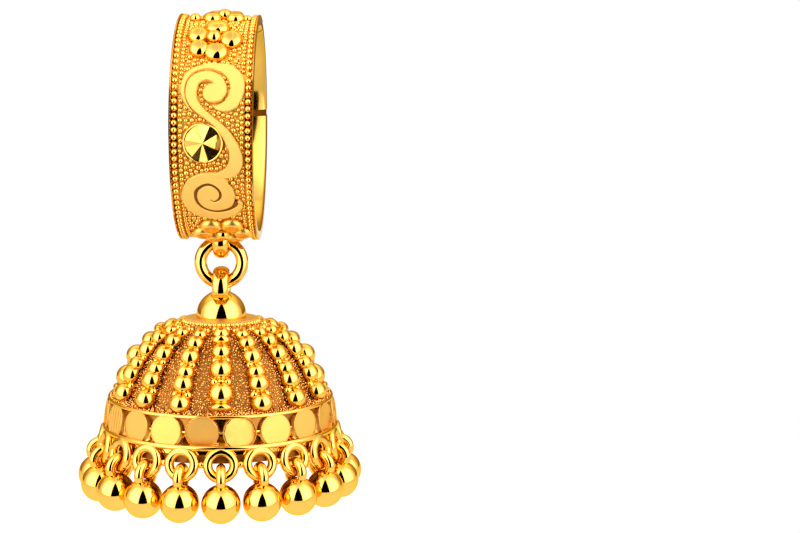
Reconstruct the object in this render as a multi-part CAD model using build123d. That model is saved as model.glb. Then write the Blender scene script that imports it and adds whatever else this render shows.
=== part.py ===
"""Jhumka earring: a wide decorated hoop with its ear clasp, a link ring, and a bell-shaped drop
with a band of discs and a fringe of hanging balls. Millimetres, +Z up, the front faces -Y.
The origin is the middle of the ear pin, from which the whole earring hangs."""

import os
from math import cos, degrees, radians, sin, sqrt

from build123d import *

# Hoop: a wide band whose axis lies along X, below the ear pin.
PIN_TO_HOOP_CENTRE = 4.5
HOOP_WIDTH = 5.75
HOOP_INNER_R = 7.15
HOOP_FIELD_R = 7.9  # the granulated field between the rims
HOOP_RIM_R = 8.25
RIM_WIDTH = 0.58
RIM_BEVEL = 0.1
SCROLL_TOP_R = 8.2

# Ear clasp: the plain leaf that closes the hoop behind the ear, with the pin across it.
# Angles run round the hoop from its front, upwards.
LEAF_TOP_ANGLE = 105.0
LEAF_BOTTOM_ANGLE = 171.0
LEAF_OUTER_R = 8.1
LEAF_SEAM = 0.15
PIN_R = 0.45
PIN_IN_SOCKET = 0.35
SOCKET_R = 0.55
SOCKET_DEPTH = 0.5

# Link ring, and the two eyes it passes through. The eyes are bent from an oval wire.
LINK_CENTRE_BELOW_HOOP = 9.97
LINK_MEAN_R = 1.54
LINK_WIRE_R = 0.46
EYE_HOLE_R = 0.75
EYE_HALF_THICKNESS = 0.37
HOOP_EYE_HALF_WIDTH = 0.565
DOME_EYE_HALF_WIDTH = 0.6
EYE_PLAY = 0.04

# Finial ball and its plate, on top of the dome.
FINIAL_BELOW_HOOP = 13.94
FINIAL_R = 1.86
PLATE_R = 2.95
PLATE_THICKNESS = 0.35
PLATE_TOP_BELOW_HOOP = 14.1

# Dome: radius and depth below the dome's top, outside then inside, each as two arcs.
DOME_TOP_BELOW_HOOP = 14.25
DOME_OUTSIDE = [(2.6, 0.0), (4.3, 1.05), (5.6, 2.17), (6.6, 3.7), (7.35, 5.4)]
DOME_INSIDE = [(2.3, 0.5), (4.0, 1.46), (5.24, 2.54), (6.15, 3.95), (6.87, 5.7)]
DOME_TURN = 5.0  # the drop hangs turned this far about Z

# Ribs of beads down the dome: radius, depth below the dome's top, and bead radius.
RIB_COUNT = 16
CARDINAL_RIB_STEP = 4
CARDINAL_RIB = [
    (3.67, 0.59, 0.60),
    (4.45, 1.00, 0.42),
    (5.20, 1.65, 0.66),
    (5.76, 2.12, 0.36),
    (6.20, 2.72, 0.77),
    (6.66, 3.50, 0.36),
    (6.85, 4.32, 0.86),
    (7.38, 5.26, 0.42),
]
PLAIN_RIB = [
    (3.95, 0.65, 0.50),
    (4.85, 1.12, 0.58),
    (5.75, 1.95, 0.66),
    (6.48, 2.93, 0.60),
    (6.92, 3.68, 0.69),
    (7.18, 4.44, 0.36),
    (7.50, 4.98, 0.70),
]

# Openwork band under the dome: two wires, with a ring of discs in front of them.
BAND_COUNT = 20
TOP_WIRE_R = 8.25
TOP_WIRE_DEPTH = 5.7
BOTTOM_WIRE_R = 8.6
BOTTOM_WIRE_DEPTH = 7.82
BAND_WIRE_R = 0.2
LEDGE_HALF_THICKNESS = 0.13
DISC_R = 1.12
DISC_THICKNESS = 0.24
DISC_FORWARD = 0.1  # the discs stand this far in front of the wires
BRIDGE_R = 0.26
BACKING_R = 8.12  # a thin wall behind the discs
BACKING_THICKNESS = 0.14
BACKING_HEIGHT = 1.35

# Loops soldered under the band, and the balls that hang in them.
LOOP_CENTRE_R = 8.78
LOOP_DEPTH = 8.97
LOOP_MEAN_R = 0.92
LOOP_WIRE_R = 0.34
LOOP_LEAN = 10.0
LOOP_BRIDGE_R = 0.28
BALL_R = 1.375
BALL_EYE_MEAN_R = 0.75
BALL_EYE_WIRE_R = 0.34
BALL_BELOW_LOOP_WIRE = 1.765
BALL_EYE_BELOW_LOOP_WIRE = 0.035

# Ornament on the hoop's front. Places are (across, round): millimetres across the band from its
# middle, and millimetres round the field from its front, upwards.
DISC_PLACE = (-0.55, -0.86)
DISC_ORNAMENT_R = 1.38
DISC_TOP_R = 8.2
FLOWER_CIRCLE_R = 1.3
FLOWER_CENTRE_R = 0.5
FLOWER_CENTRE_RISE = 0.25
PETAL_RISE = -0.25
# Each flower's place, then the direction and radius of each petal.
FLOWERS = [
    ((-0.05, 7.1), [(84, 0.82), (163, 0.78), (226, 0.78), (280, 0.88), (348, 0.82)]),
    ((0.3, 10.95), [(5, 0.8), (65, 0.8), (125, 0.8), (185, 0.8), (245, 0.8), (305, 0.8)]),
    ((0.4, -9.3), [(0, 0.8), (62, 0.82), (118, 0.82), (180, 0.8), (240, 0.8), (300, 0.8)]),
]
UPPER_SCROLL = [
    (-1.77, 1.9), (-1.84, 3.0), (-1.02, 4.2), (0.38, 4.72), (1.63, 4.3), (2.18, 3.2), (1.88, 2.0), (1.08, 1.45),
    (0.78, 0.3), (1.55, -0.75), (2.02, -1.5), (2.08, -2.5), (1.73, -3.3), (1.18, -3.57), (0.48, -3.15),
    (1.25, -2.5), (1.33, -1.8), (1.08, -0.9), (0.18, 0.1), (-1.22, 1.2),
]
LOWER_SCROLL = [
    (0.28, -3.1), (-0.77, -3.13), (-1.62, -3.65), (-2.12, -4.4), (-2.17, -5.1), (-1.97, -5.85), (-1.47, -6.6),
    (-0.62, -7.15), (0.28, -7.27), (1.18, -6.9), (1.83, -6.3), (2.03, -5.7), (1.53, -5.5), (1.48, -4.6), (0.98, -3.6),
]

HOOP_Z = -PIN_TO_HOOP_CENTRE
PIN_WALL_Y = sqrt(HOOP_INNER_R**2 - PIN_TO_HOOP_CENTRE**2)  # where the pin meets the hoop's inner wall
PIN_IN_LEAF = 0.4
SCROLL_SINK = 0.3  # how far plates and discs reach into the wall they are soldered to
LINK_Z = HOOP_Z - LINK_CENTRE_BELOW_HOOP
DOME_Z = HOOP_Z - DOME_TOP_BELOW_HOOP
OVERRUN = 1.0  # how far a cutting tool runs past what it cuts


def ring_profile(points):
    """A closed face in the XZ plane from (x, radius) points, ready to revolve about X."""
    corners = [(x, 0, r) for x, r in points]
    return make_face(Polyline(*corners, close=True))


def hoop_arc(profile, low_angle, high_angle):
    """Revolves a profile round the hoop's axis between two angles from the front, upwards."""
    solid = revolve(profile, Axis.X, high_angle - low_angle)
    return Pos(0, 0, HOOP_Z) * Rot(90 - high_angle, 0, 0) * solid


def on_hoop(across, round_field, radius):
    """The place on the hoop, with its Z axis pointing outwards from the hoop's axis."""
    angle = degrees(round_field / HOOP_FIELD_R)
    return Pos(0, 0, HOOP_Z) * Rot(90 - angle, 0, 0) * Pos(across, 0, radius)


def oval_eye(centre_z, half_width):
    """A round eye in the YZ plane, bent from an oval wire."""
    wire = Pos(0, 0, EYE_HOLE_R + EYE_HALF_THICKNESS) * Rot(90, 0, 0) * Ellipse(half_width, EYE_HALF_THICKNESS)
    return Pos(0, 0, centre_z) * revolve(wire, Axis.X, 360)


def scroll_plate(outline):
    """A flat plate that follows the hoop's front, cut to an outline of (across, round) points."""
    edge_points = []
    for across, round_field in outline:
        angle = round_field / HOOP_FIELD_R
        edge_points.append((across, 0, HOOP_Z + SCROLL_TOP_R * sin(angle)))
    edge = Spline(*edge_points, periodic=True)
    block = extrude(make_face(edge), amount=HOOP_RIM_R, dir=(0, -1, 0))
    sheath = Cylinder(SCROLL_TOP_R, HOOP_WIDTH) - Cylinder(HOOP_FIELD_R - SCROLL_SINK, HOOP_WIDTH)
    return block & (Pos(0, 0, HOOP_Z) * Rot(0, 90, 0) * sheath)


def flower(place, petals):
    """A ring of round petals about a round centre, half sunk in the hoop's field."""
    across, round_field = place
    beads = [on_hoop(across, round_field, HOOP_FIELD_R + FLOWER_CENTRE_RISE) * Sphere(FLOWER_CENTRE_R)]
    for direction, petal_r in petals:
        turn = radians(direction)
        petal_across = across + FLOWER_CIRCLE_R * cos(turn)
        petal_round = round_field + FLOWER_CIRCLE_R * sin(turn)
        beads.append(on_hoop(petal_across, petal_round, HOOP_FIELD_R + PETAL_RISE) * Sphere(petal_r))
    return beads


def hoop_band():
    """The wide band with raised rims, its ornament, the socket for the pin, and the eye below."""
    half = HOOP_WIDTH / 2
    rim_foot = half - RIM_WIDTH
    profile = ring_profile([
        (-half, HOOP_INNER_R),
        (half, HOOP_INNER_R),
        (half, HOOP_RIM_R - RIM_BEVEL),
        (half - RIM_BEVEL, HOOP_RIM_R),
        (rim_foot + RIM_BEVEL, HOOP_RIM_R),
        (rim_foot, HOOP_RIM_R - RIM_BEVEL),
        (rim_foot, HOOP_FIELD_R),
        (-rim_foot, HOOP_FIELD_R),
        (-rim_foot, HOOP_RIM_R - RIM_BEVEL),
        (-rim_foot - RIM_BEVEL, HOOP_RIM_R),
        (-half + RIM_BEVEL, HOOP_RIM_R),
        (-half, HOOP_RIM_R - RIM_BEVEL),
    ])
    band = hoop_arc(profile, LEAF_BOTTOM_ANGLE - 360, LEAF_TOP_ANGLE)
    eye = oval_eye(LINK_Z + LINK_MEAN_R - LINK_WIRE_R - EYE_PLAY + EYE_HOLE_R, HOOP_EYE_HALF_WIDTH)
    inside = Pos(0, 0, HOOP_Z) * Rot(0, 90, 0) * Cylinder(HOOP_INNER_R + LEAF_SEAM, HOOP_WIDTH)
    pieces = [eye - inside, scroll_plate(UPPER_SCROLL), scroll_plate(LOWER_SCROLL)]
    pieces += [flower(place, petals) for place, petals in FLOWERS]
    disc_height = DISC_TOP_R - HOOP_FIELD_R + SCROLL_SINK
    pieces.append(on_hoop(*DISC_PLACE, DISC_TOP_R - disc_height / 2) * Cylinder(DISC_ORNAMENT_R, disc_height))
    for piece in pieces:
        band += piece
    socket = Cylinder(SOCKET_R, SOCKET_DEPTH + OVERRUN)
    band -= Pos(0, -PIN_WALL_Y - SOCKET_DEPTH + (SOCKET_DEPTH + OVERRUN) / 2, 0) * Rot(90, 0, 0) * socket
    return band


def ear_clasp():
    """The plain leaf behind the ear, with the pin that goes through the ear into the band's socket."""
    half = HOOP_WIDTH / 2
    profile = ring_profile([
        (-half, HOOP_INNER_R), (half, HOOP_INNER_R), (half, LEAF_OUTER_R), (-half, LEAF_OUTER_R),
    ])
    seam_angle = degrees(LEAF_SEAM / HOOP_FIELD_R)
    leaf = hoop_arc(profile, LEAF_TOP_ANGLE + seam_angle, LEAF_BOTTOM_ANGLE - seam_angle)
    front_y = -PIN_WALL_Y - PIN_IN_SOCKET
    back_y = PIN_WALL_Y + PIN_IN_LEAF
    pin = Pos(0, (front_y + back_y) / 2, 0) * Rot(90, 0, 0) * Cylinder(PIN_R, back_y - front_y)
    return leaf + pin


def link_ring():
    """The round ring that joins the hoop's eye to the dome's eye."""
    return Pos(0, 0, LINK_Z) * Rot(90, 0, 0) * Torus(LINK_MEAN_R, LINK_WIRE_R)


def bell(table):
    """A solid of revolution about Z through five (radius, depth) points on two arcs."""
    points = [(r, 0, -depth) for r, depth in table]
    top = (0, 0, points[0][2])
    bottom = (0, 0, points[4][2])
    edge = [
        Line(top, points[0]),
        ThreePointArc(points[0], points[1], points[2]),
        ThreePointArc(points[2], points[3], points[4]),
        Line(points[4], bottom),
        Line(bottom, top),
    ]
    return revolve(make_face(edge), Axis.Z, 360)


def openwork_band():
    """The two wires, the ledge and wall behind them, the discs and the bridges between the discs."""
    top_wire = Pos(0, 0, -TOP_WIRE_DEPTH) * Torus(TOP_WIRE_R, BAND_WIRE_R)
    bottom_wire = Pos(0, 0, -BOTTOM_WIRE_DEPTH) * Torus(BOTTOM_WIRE_R, BAND_WIRE_R)
    ledge = Pos(0, 0, -TOP_WIRE_DEPTH + LEDGE_HALF_THICKNESS) * Cylinder(TOP_WIRE_R, 2 * LEDGE_HALF_THICKNESS)
    backing = Cylinder(BACKING_R, BACKING_HEIGHT) - Cylinder(BACKING_R - BACKING_THICKNESS, BACKING_HEIGHT)
    backing = Pos(0, 0, -TOP_WIRE_DEPTH - BACKING_HEIGHT / 2) * backing
    pieces = [top_wire, bottom_wire, ledge, backing]
    mid_r = (TOP_WIRE_R + BOTTOM_WIRE_R) / 2 + DISC_FORWARD
    mid_depth = (TOP_WIRE_DEPTH + BOTTOM_WIRE_DEPTH) / 2
    slope = Vector(BOTTOM_WIRE_R - TOP_WIRE_R, 0, TOP_WIRE_DEPTH - BOTTOM_WIRE_DEPTH)
    lean = slope.get_angle(Vector(0, 0, -1))
    pitch = 360 / BAND_COUNT
    for number in range(BAND_COUNT):
        disc = Pos(mid_r, 0, -mid_depth) * Rot(0, 90 - lean, 0) * Cylinder(DISC_R, DISC_THICKNESS)
        pieces.append(Rot(0, 0, -90 + (number + 0.5) * pitch) * disc)
        pieces.append(Rot(0, 0, -90 + number * pitch) * Pos(mid_r, 0, -mid_depth) * Sphere(BRIDGE_R))
    return pieces


def loops():
    """The loops under the band, leaning outwards, with small bridges between them."""
    pieces = []
    pitch = 360 / BAND_COUNT
    for number in range(BAND_COUNT):
        loop = Pos(LOOP_CENTRE_R, 0, -LOOP_DEPTH) * Rot(0, 90 - LOOP_LEAN, 0) * Torus(LOOP_MEAN_R, LOOP_WIRE_R)
        pieces.append(Rot(0, 0, -90 + number * pitch) * loop)
        bridge = Pos(LOOP_CENTRE_R * cos(radians(pitch / 2)), 0, -LOOP_DEPTH) * Sphere(LOOP_BRIDGE_R)
        pieces.append(Rot(0, 0, -90 + (number + 0.5) * pitch) * bridge)
    return pieces


def jhumka_dome():
    """The dome with its ribs, finial, band and loops, all soldered into one solid."""
    pieces = []
    for number in range(RIB_COUNT):
        rib = PLAIN_RIB if number % CARDINAL_RIB_STEP else CARDINAL_RIB
        turn = Rot(0, 0, -90 + number * 360 / RIB_COUNT)
        pieces += [turn * Pos(r, 0, -depth) * Sphere(bead_r) for r, depth, bead_r in rib]
    pieces += openwork_band()
    pieces += loops()
    dome = bell(DOME_OUTSIDE) + pieces - bell(DOME_INSIDE)
    dome = Pos(0, 0, DOME_Z) * Rot(0, 0, DOME_TURN) * dome
    plate_z = HOOP_Z - PLATE_TOP_BELOW_HOOP
    plate = Pos(0, 0, plate_z - PLATE_THICKNESS / 2) * Cylinder(PLATE_R, PLATE_THICKNESS)
    finial_z = HOOP_Z - FINIAL_BELOW_HOOP
    finial = Pos(0, 0, finial_z) * Sphere(FINIAL_R)
    finial &= Pos(0, 0, plate_z - PLATE_THICKNESS / 2 + FINIAL_R * 2) * Box(4 * FINIAL_R, 4 * FINIAL_R, 4 * FINIAL_R)
    eye = oval_eye(LINK_Z - LINK_MEAN_R + LINK_WIRE_R + EYE_PLAY - EYE_HOLE_R, DOME_EYE_HALF_WIDTH)
    return dome + [plate, finial, eye]


def ball_drop(number):
    """One hanging ball with its eye, which passes through loop number."""
    lean = radians(LOOP_LEAN)
    wire_r = LOOP_CENTRE_R + LOOP_MEAN_R * sin(lean)
    wire_z = -LOOP_DEPTH - LOOP_MEAN_R * cos(lean)
    ball = Pos(0, 0, -BALL_BELOW_LOOP_WIRE) * Sphere(BALL_R)
    eye = Pos(0, 0, -BALL_EYE_BELOW_LOOP_WIRE) * Rot(90, 0, 0) * Torus(BALL_EYE_MEAN_R, BALL_EYE_WIRE_R)
    drop = Pos(wire_r, 0, wire_z) * Rot(0, -LOOP_LEAN, 0) * (ball + eye)
    turn = DOME_TURN - 90 + number * 360 / BAND_COUNT
    return Pos(0, 0, DOME_Z) * Rot(0, 0, turn) * drop


def main():
    """Writes one STEP file for each piece."""
    os.makedirs("parts", exist_ok=True)
    nodes = {
        "hoop_band": hoop_band(),
        "ear_clasp": ear_clasp(),
        "link_ring": link_ring(),
        "jhumka_dome": jhumka_dome(),
    }
    for number in range(BAND_COUNT):
        nodes[f"ball_drop_{number + 1:02d}"] = ball_drop(number)
    for name, shape in nodes.items():
        export_step(shape, f"parts/{name}.step")


main()
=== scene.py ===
"""Looks of the jhumka earring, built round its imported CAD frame. Sizes are in millimetres here and
become metres when a piece is made. +Z is up and the front faces -Y, as in the frame."""

import random
from math import atan2, ceil, cos, degrees, hypot, pi, radians, sin, sqrt, tan

import bmesh
import bpy
import numpy as np
from mathutils import Matrix, Vector


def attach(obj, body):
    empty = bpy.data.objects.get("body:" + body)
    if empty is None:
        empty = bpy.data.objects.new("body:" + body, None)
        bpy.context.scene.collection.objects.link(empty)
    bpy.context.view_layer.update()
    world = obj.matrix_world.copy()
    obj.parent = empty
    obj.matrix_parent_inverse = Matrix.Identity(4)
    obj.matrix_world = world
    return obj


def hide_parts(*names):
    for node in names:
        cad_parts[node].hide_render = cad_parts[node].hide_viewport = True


MM = 0.001

# Hoop: its axis lies along X. Angles run round it from its front, upwards, and places on it are given as
# (across, round), where round is an arc length at FIELD_R from the front, upwards.
HOOP_Z = -4.5
HOOP_HALF_WIDTH = 2.875
HOOP_INNER_R = 7.15
FIELD_R = 7.9
RIM_R = 8.25
RIM_LIP = 0.13
RIM_FOOT = 0.58
RIM_BEAD_R = 0.215
RIM_BEAD_LINE = 2.53
RIM_BEAD_STEP = 0.51
LEAF_TOP_ANGLE = 105.0
LEAF_BOTTOM_ANGLE = 174.0
LEAF_OUTER_R = 8.1
SEAM_ANGLE = 1.1
LOWER_SEAM_ANGLE = 4.0
HOOP_STEPS = 260
PIN_R = 0.45

# Link ring and the eyes it hangs in.
LINK_Z = -14.47
LINK_MEAN_R = 1.54
LINK_WIRE_R = 0.46
LINK_STEPS = (128, 56)
EYE_MEAN_R = 1.12
EYE_HALF_THICKNESS = 0.37
EYE_STEPS = (96, 40)  # round the eye, and round its wire
# Eyes: height and half width.
HOOP_EYE = (-12.68, 0.565)
DOME_EYE = (-16.26, 0.6)

# Dome and finial. The bell's sides are (radius, depth below DOME_Z).
DOME_Z = -18.75
DOME_TURN = 5.0
DOME_OUTSIDE = [(2.6, 0.0), (4.3, 1.05), (5.6, 2.17), (6.6, 3.7), (7.35, 5.4)]
DOME_FOOT = [(7.5, 5.46), (8.2, 5.56)]
DOME_INSIDE = [(2.3, 0.5), (4.0, 1.46), (5.24, 2.54), (6.15, 3.95), (6.87, 5.7)]
FINIAL_Z = -18.44
FINIAL_R = 1.86
PLATE_Z = -18.6
PLATE_R = 2.8
PLATE_THICKNESS = 0.35
PLATE_BEADS = 53
PLATE_BEAD_R = 0.17
ROUND_STEPS = 240

# Fine grains on the bell.
GRAIN_R = 0.067
GRAIN_STEP = 0.182

# Ribs. Every fourth one, from the front, is a cardinal rib.
RIB_COUNT = 16
CARDINAL_STEP = 4
LARGE_BEAD = 0.4
BEAD_SUNK = 0.4  # how much of a bead's inner half is left, so that it ends inside the bell's wall
# Radius, depth, half width, half height, and where the beads side by side lie.
CARDINAL_RIB = [
    (3.12, 0.34, 0.34, 0.32, (-0.36, 0.36)),
    (3.67, 0.59, 0.62, 0.62, ()),
    (4.45, 1.02, 0.67, 0.37, ()),
    (5.20, 1.65, 0.71, 0.67, ()),
    (5.78, 2.14, 0.30, 0.29, (-0.37, 0.37)),
    (6.20, 2.72, 0.84, 0.82, ()),
    (6.66, 3.50, 0.29, 0.29, (-0.46, 0, 0.46)),
    (6.85, 4.32, 0.94, 0.93, ()),
    (7.38, 5.26, 0.82, 0.37, ()),
]
PLAIN_RIB = [
    (3.42, 0.42, 0.30, 0.28, (-0.26, 0.26)),
    (3.95, 0.65, 0.52, 0.52, ()),
    (4.85, 1.12, 0.63, 0.60, ()),
    (5.33, 1.50, 0.23, 0.23, (-0.27, 0.27)),
    (5.75, 1.95, 0.71, 0.70, ()),
    (6.16, 2.45, 0.27, 0.26, (-0.35, 0.35)),
    (6.48, 2.93, 0.67, 0.60, ()),
    (6.92, 3.68, 0.76, 0.75, ()),
    (7.18, 4.40, 0.32, 0.31, (-0.45, 0.45)),
    (7.50, 4.98, 0.79, 0.76, ()),
]

# Openwork band, loops and balls. Depths are below DOME_Z.
BAND_COUNT = 20
# Wires: radius, depth and wire radius.
TOP_WIRE = (8.25, 5.7, 0.14)
BOTTOM_WIRE = (8.6, 7.82, 0.2)
# Thin walls behind the discs and the loops: outer radius, top depth and bottom depth. The backing and the
# skirt's foot are dark gold that stands for shade: painted shade.
BACKING = (8.12, 5.7, 7.05)
SKIRT = (8.45, 7.82, 8.32)
SKIRT_FOOT = (8.45, 8.32, 8.93)
WALL_THICKNESS = 0.14
DISC_R = 1.18
DISC_DEPTH = 0.4
DISC_FORWARD = 0.12
DISC_FACE_R = 1.13
STRIPE_FOLD = 0.035
FAN_FOLD = 0.1
# Each disc's face, from the one right of the front's middle round to the right: how far the disc leans down,
# and how far its face leans down and turns to the right within it.
DISC_STYLES = [
    ("fan", -9, 0, 11), ("plain", -9, 2, 0), ("plain", -9, 4, 0), ("plain", -9, 9, 0), ("fan", -9, 2, 0),
    *[("plain", -9, 2, 0), ("fan", -9, 1, 0)] * 5,
    ("plain", -9, 8, 0), ("stripes", -9, 0, 3), ("plain", -9, 4, 0), ("plain", -9, 1, 0), ("plain", 5, 7, 0),
]
BRIDGE = [0.09, 0.32, 0.09]  # half sizes of the pins between the discs
BRIDGE_BACK = 0.2
LOOP_CENTRE_R = 8.78
LOOP_DEPTH = 8.97
LOOP_MEAN_R = 0.92
LOOP_WIRE_R = 0.34
LOOP_STEPS = (56, 22)
LOOP_LEAN = 10.0
LOOP_BRIDGE_R = 0.26
BALL_R = 1.375
BALL_EYE_MEAN_R = 0.75
BALL_EYE_WIRE_R = 0.34
BALL_EYE_STEPS = (52, 20)
BALL_BELOW_WIRE = 1.765
BALL_EYE_BELOW_WIRE = 0.035

# Scroll work on the hoop's front, as strokes of (across, round, half width).
COMMA = [
    (0.10, 1.68, 0.02), (0.46, 1.53, 0.16), (0.99, 1.59, 0.33), (1.43, 1.89, 0.44),
    (1.70, 2.47, 0.47), (1.77, 3.12, 0.48), (1.55, 3.74, 0.48), (1.05, 4.22, 0.41),
    (0.43, 4.41, 0.29), (-0.19, 4.49, 0.21), (-0.84, 4.35, 0.17), (-1.42, 4.03, 0.16),
    (-1.81, 3.47, 0.16), (-1.96, 2.79, 0.14), (-1.85, 2.15, 0.11), (-1.60, 1.65, 0.07),
    (-1.27, 1.22, 0.02),
]
S_SCROLL = [
    (0.11, -3.01, 0.02), (0.66, -3.02, 0.19), (1.18, -2.89, 0.36), (1.53, -2.56, 0.45),
    (1.70, -2.07, 0.44), (1.63, -1.41, 0.37), (1.36, -0.79, 0.33), (1.00, -0.21, 0.28),
    (0.48, 0.35, 0.22), (-0.12, 0.83, 0.21), (-0.68, 1.27, 0.25), (-1.12, 1.74, 0.31),
    (-1.36, 2.28, 0.35), (-1.36, 2.82, 0.37), (-1.17, 3.33, 0.36), (-0.69, 3.67, 0.33),
    (-0.18, 3.72, 0.33), (0.33, 3.49, 0.35), (0.62, 3.06, 0.36), (0.66, 2.65, 0.37),
    (0.44, 2.30, 0.38),
]
S_EYE = [(0.08, 2.49, 0.64)]
LOWER_RIM = [
    (0.90, -3.60, 0.20), (0.25, -3.30, 0.32), (-0.75, -3.38, 0.36), (-1.42, -3.85, 0.38),
    (-1.75, -4.70, 0.40), (-1.58, -5.45, 0.44), (-1.10, -6.08, 0.46), (-0.35, -6.50, 0.42),
    (0.40, -6.55, 0.38), (1.10, -6.32, 0.36), (1.60, -5.92, 0.28), (1.85, -5.50, 0.20),
    (1.84, -5.25, 0.12),
]
LOWER_FIELD = [(-0.60, -4.80, 1.45), (0.00, -4.80, 1.50), (0.22, -4.75, 1.20)]
LOWER_GROOVE = [
    (-0.20, -5.04, 0.03), (0.10, -5.20, 0.06), (0.43, -4.98, 0.08), (0.55, -4.60, 0.09),
    (0.40, -4.19, 0.09), (0.07, -3.90, 0.09), (-0.30, -3.80, 0.10), (-0.76, -3.97, 0.11),
    (-1.12, -4.37, 0.12), (-1.16, -4.97, 0.11), (-0.93, -5.55, 0.10), (-0.47, -5.96, 0.10),
    (0.21, -6.14, 0.11), (0.93, -5.98, 0.12), (1.40, -5.68, 0.14), (1.60, -5.40, 0.16),
]
SCROLL_TOP_R = 8.2
S_SCROLL_RISE = 0.07
SCROLL_BEVEL = 0.04
SCROLL_EDGE_DROP = 0.05
SCROLL_PITCH = 0.045
STROKE_SPACING = 0.03
# The lower scroll's groove holds a dark strip this far below the plate's top: painted shade in the groove.
GROOVE_DEPTH = 0.05

# The cut disc: place (across, round), radius, and the radii of its rim and middle from the hoop's axis.
FACET_DISC = (-0.55, -0.86, 1.38, 8.2, 8.26)
FACET_DISC_RIM = 0.1
# Each facet's edge direction, clockwise from the top, and how far it leans to the right and up.
FACETS = [
    (-12, -15, 5), (23, 1, 6), (58, 22, 2), (86, 24, -3), (114, 1, -6), (137, 14, -8), (164, -16, -5),
    (192, -5, -6), (218, -11, -4), (238, -9, -2), (258, -7, 0), (279, -10, 3), (303, -12, 5), (325, -7, 7),
]

# Flowers on the hoop: each petal's place (across, round), half sizes across and round, and height.
PETALS = [
    (-1.19, 7.45, 0.74, 0.80, 0.60), (-1.02, 6.02, 0.72, 0.72, 0.60), (0.18, 5.72, 0.84, 0.76, 0.62),
    (1.14, 6.98, 0.80, 0.84, 0.62), (0.08, 8.48, 0.86, 0.84, 0.60),
    (-0.45, 10.55, 0.70, 0.74, 0.60), (1.20, 10.55, 0.70, 0.74, 0.60),
    (-0.25, 11.75, 0.66, 0.66, 0.60), (1.05, 11.75, 0.66, 0.66, 0.60),
    (-0.35, -8.05, 0.80, 0.76, 0.60), (1.15, -7.95, 0.80, 0.76, 0.60), (-1.05, -9.35, 0.76, 0.78, 0.58),
    (1.85, -9.20, 0.72, 0.76, 0.58), (-0.35, -10.60, 0.76, 0.72, 0.58), (1.15, -10.60, 0.76, 0.72, 0.58),
]
PETAL_SQUARENESS = 2.9
# Round beads on the hoop: place (across, round) and radius.
FLOWER_CENTRES = [(-0.05, 7.10, 0.54), (0.38, 11.00, 0.54), (0.40, -9.30, 0.52)]
BIG_GRANULES = [(-1.65, 10.30, 0.40), (2.05, 10.50, 0.32)]
# Granules on the hoop's field: radius, and how many places are tried for it.
GRANULE_SIZES = [(0.19, 900), (0.17, 5000), (0.145, 14000), (0.115, 20000), (0.09, 20000), (0.07, 16000)]
GRANULE_OVERLAP = 0.95
GRANULE_RISE = 0.25  # how far a granule's middle stands out of the field, as a share of its radius
GRANULES_FRONT = 13.0  # how far round the hoop the front piece of granules reaches, up and down

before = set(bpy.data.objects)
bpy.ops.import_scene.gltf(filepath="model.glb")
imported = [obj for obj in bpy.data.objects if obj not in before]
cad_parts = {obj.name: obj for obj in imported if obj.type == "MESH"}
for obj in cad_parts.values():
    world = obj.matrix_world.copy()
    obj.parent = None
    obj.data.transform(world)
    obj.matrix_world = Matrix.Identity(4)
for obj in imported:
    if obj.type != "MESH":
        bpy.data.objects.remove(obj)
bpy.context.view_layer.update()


# ---------- shapes, in millimetres ----------


def surface(points, wrap_rows=False, wrap_columns=False):
    """Vertices and quads of a grid of points, closed in either direction."""
    rows, columns = points.shape[:2]
    index = np.arange(rows * columns).reshape(rows, columns)
    if wrap_rows:
        index = np.vstack([index, index[:1]])
    if wrap_columns:
        index = np.hstack([index, index[:, :1]])
    quads = np.stack([index[:-1, :-1], index[1:, :-1], index[1:, 1:], index[:-1, 1:]], axis=-1)
    return points.reshape(-1, 3), quads.reshape(-1, 4).tolist()


def joined(shapes):
    """Several shapes as one list of vertices and one list of faces."""
    verts = []
    faces = []
    count = 0
    for points, polygons in shapes:
        verts.append(points)
        faces += [[corner + count for corner in polygon] for polygon in polygons]
        count += len(points)
    return np.vstack(verts), faces


def unit_ball(detail):
    """A round ball of radius 1."""
    shape = bmesh.new()
    bmesh.ops.create_icosphere(shape, subdivisions=detail, radius=1)
    verts = np.array([vert.co[:] for vert in shape.verts])
    faces = np.array([[vert.index for vert in face.verts] for face in shape.faces])
    shape.free()
    return verts, faces


def balls(places, detail, squareness=2.0, sunk=1.0):
    """One joined shape of a ball for each (centre, axes), where the axes are rows with their lengths.

    Above 2, squareness makes each a pillow that is round from above and flat on top. Below 1, sunk squashes
    the half of each that lies against its first axis, so that it stays inside the wall it stands on.
    """
    verts, faces = unit_ball(detail)
    round_part = np.hypot(verts[:, 0], verts[:, 1])
    reach = (round_part**squareness + np.abs(verts[:, 2]) ** squareness) ** (1 / squareness)
    verts = verts / reach[:, None]
    verts[:, 0] = np.where(verts[:, 0] < 0, sunk * verts[:, 0], verts[:, 0])
    centres = np.array([place[0] for place in places])
    axes = np.array([place[1] for place in places])
    points = np.einsum("vk,nkj->nvj", verts, axes) + centres[:, None, :]
    offsets = np.arange(len(places))[:, None, None] * len(verts)
    return points.reshape(-1, 3), (faces[None] + offsets).reshape(-1, 3).tolist()


def round_ball(centre, radius):
    """A place for balls(): a round ball."""
    return centre, np.eye(3) * radius


def lathe(profile, steps):
    """(radius, z) points turned about Z."""
    angles = np.linspace(0, 2 * pi, steps, endpoint=False)
    radius = np.array([point[0] for point in profile])
    height = np.array([point[1] for point in profile])
    x = np.outer(np.cos(angles), radius)
    y = np.outer(np.sin(angles), radius)
    z = np.broadcast_to(height, x.shape)
    return surface(np.stack([x, y, z], axis=-1), wrap_rows=True)


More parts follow.
